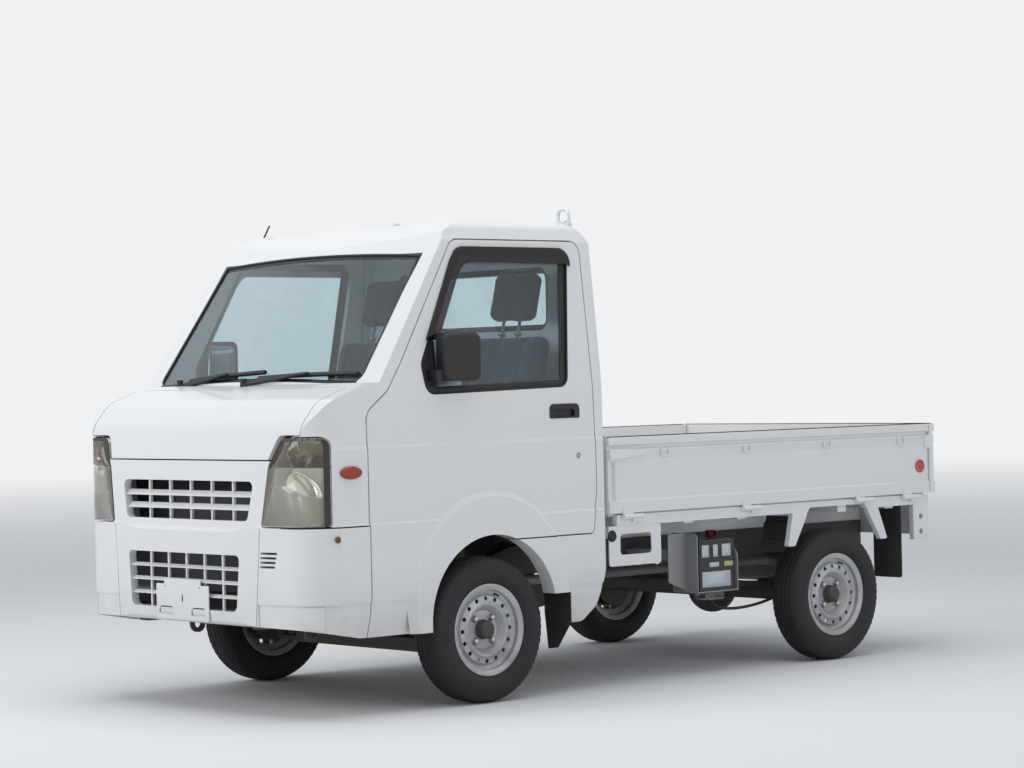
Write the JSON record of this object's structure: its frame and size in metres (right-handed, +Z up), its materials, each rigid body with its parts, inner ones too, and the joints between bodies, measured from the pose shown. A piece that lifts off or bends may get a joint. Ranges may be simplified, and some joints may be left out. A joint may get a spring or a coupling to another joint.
{
  "type": "kei pickup truck",
  "caption": "Small white cab-over pickup truck with drop-side bed, guard frame behind the cab, opening doors, lid and gates, and steering front wheels.",
  "frame": {"origin": "on the ground, under the middle of the truck's length and width, mirrors included", "axes": "+Y to the rear along the truck's length, +X to the truck's left side, +Z up"},
  "size_m": [1.5298, 3.398, 1.8369],
  "materials": {
    "white_paint": "gloss",
    "clear_glass": "gloss",
    "smoked_plastic": "gloss",
    "lamp_lens": "gloss",
    "amber_lens": "gloss",
    "red_lens": "gloss",
    "zinc_steel": "satin",
    "black_plastic": "satin",
    "floor_paint": "satin",
    "seat_cloth": "matte",
    "frame_black": "satin",
    "cast_metal": "satin",
    "wheel_silver": "satin",
    "tyre_rubber": "matte"
  },
  "bodies": {
    "truck": {"bumper": "white_paint", "front_panel": "white_paint", "fenders": "white_paint", "roof": "white_paint", "back_panel": "white_paint", "cowl": "white_paint", "cab_sides": "white_paint", "deck": "white_paint", "guard_frame": "white_paint", "side_cover": "white_paint", "windscreen": "clear_glass", "rear_window": "clear_glass", "headlamps": "lamp_lens", "marker_lamps": "amber_lens", "tail_lamps": "red_lens", "dashboard": "black_plastic", "steering_column": "black_plastic", "wipers": "black_plastic", "controls": "black_plastic", "battery": "black_plastic", "mud_flaps": "black_plastic", "battery_tray": "zinc_steel", "exhaust": "zinc_steel", "plate_bracket": "zinc_steel", "cab_floor": "floor_paint", "seat_cushions": "seat_cloth", "seat_backs": "seat_cloth", "headrests": "seat_cloth", "frame_rails": "frame_black", "cross_members": "frame_black", "front_suspension": "frame_black", "struts": "frame_black", "rear_axle": "frame_black", "fuel_tank": "frame_black", "engine": "cast_metal"},
    "door_left": {"door_left": "white_paint", "door_glass_left": "clear_glass", "visor_left": "smoked_plastic", "mirror_left": "black_plastic", "door_handle_left": "black_plastic"},
    "door_right": {"door_right": "white_paint", "door_glass_right": "clear_glass", "visor_right": "smoked_plastic", "mirror_right": "black_plastic", "door_handle_right": "black_plastic"},
    "hood": {"hood": "white_paint"},
    "gate_left": {"gate_left": "white_paint"},
    "gate_right": {"gate_right": "white_paint"},
    "tailgate": {"tailgate": "white_paint"},
    "knuckle_left": {"knuckle_left": "frame_black"},
    "knuckle_right": {"knuckle_right": "frame_black"},
    "wheel_front_left": {"rim_front_left": "wheel_silver", "tyre_front_left": "tyre_rubber"},
    "wheel_front_right": {"rim_front_right": "wheel_silver", "tyre_front_right": "tyre_rubber"},
    "wheel_rear_left": {"rim_rear_left": "wheel_silver", "tyre_rear_left": "tyre_rubber"},
    "wheel_rear_right": {"rim_rear_right": "wheel_silver", "tyre_rear_right": "tyre_rubber"},
    "steering_wheel": {"steering_wheel": "black_plastic"}
  },
  "joints": [
    {"name": "steer_left", "type": "hinge", "parent": "truck", "child": "knuckle_left", "pos_m": [0.54, -0.8325, 0.268], "axis": [0, 0, 1], "range_deg": [-33, 33]},
    {"name": "steer_right", "type": "hinge", "parent": "truck", "child": "knuckle_right", "pos_m": [-0.54, -0.8325, 0.268], "axis": [0, 0, 1], "range_deg": [-33, 33]},
    {"name": "steering_wheel_turn", "type": "hinge", "parent": "truck", "child": "steering_wheel", "pos_m": [-0.37, -1.1025, 1.05], "axis": [0, 0.6428, 0.766], "range_deg": [-528, 528]},
    {"name": "wheel_front_left_spin", "type": "hinge", "parent": "knuckle_left", "child": "wheel_front_left", "pos_m": [0.645, -0.8325, 0.268], "axis": [1, 0, 0], "continuous": true},
    {"name": "wheel_front_right_spin", "type": "hinge", "parent": "knuckle_right", "child": "wheel_front_right", "pos_m": [-0.645, -0.8325, 0.268], "axis": [1, 0, 0], "continuous": true},
    {"name": "wheel_rear_left_spin", "type": "hinge", "parent": "truck", "child": "wheel_rear_left", "pos_m": [0.645, 1.0725, 0.268], "axis": [1, 0, 0], "continuous": true},
    {"name": "wheel_rear_right_spin", "type": "hinge", "parent": "truck", "child": "wheel_rear_right", "pos_m": [-0.645, 1.0725, 0.268], "axis": [1, 0, 0], "continuous": true},
    {"name": "door_left_swing", "type": "hinge", "parent": "truck", "child": "door_left", "pos_m": [0.7375, -1.3995, 0.9], "axis": [0, 0, -1], "range_deg": [0, 65]},
    {"name": "door_right_swing", "type": "hinge", "parent": "truck", "child": "door_right", "pos_m": [-0.7375, -1.3995, 0.9], "axis": [0, 0, 1], "range_deg": [0, 65]},
    {"name": "hood_lift", "type": "hinge", "parent": "truck", "child": "hood", "pos_m": [0, -1.4325, 1.173], "axis": [-1, 0, 0], "range_deg": [0, 60]},
    {"name": "gate_left_drop", "type": "hinge", "parent": "truck", "child": "gate_left", "pos_m": [0.733, 0.42, 0.648], "axis": [0, 1, 0], "range_deg": [0, 175]},
    {"name": "gate_right_drop", "type": "hinge", "parent": "truck", "child": "gate_right", "pos_m": [-0.733, 0.42, 0.648], "axis": [0, -1, 0], "range_deg": [0, 175]},
    {"name": "tailgate_drop", "type": "hinge", "parent": "truck", "child": "tailgate", "pos_m": [0, 1.6905, 0.648], "axis": [-1, 0, 0], "range_deg": [0, 175]}
  ],
  "couplings": [
    {"joint": "steer_right", "follows": "steer_left", "ratio": 1},
    {"joint": "steering_wheel_turn", "follows": "steer_left", "ratio": 16}
  ]
}
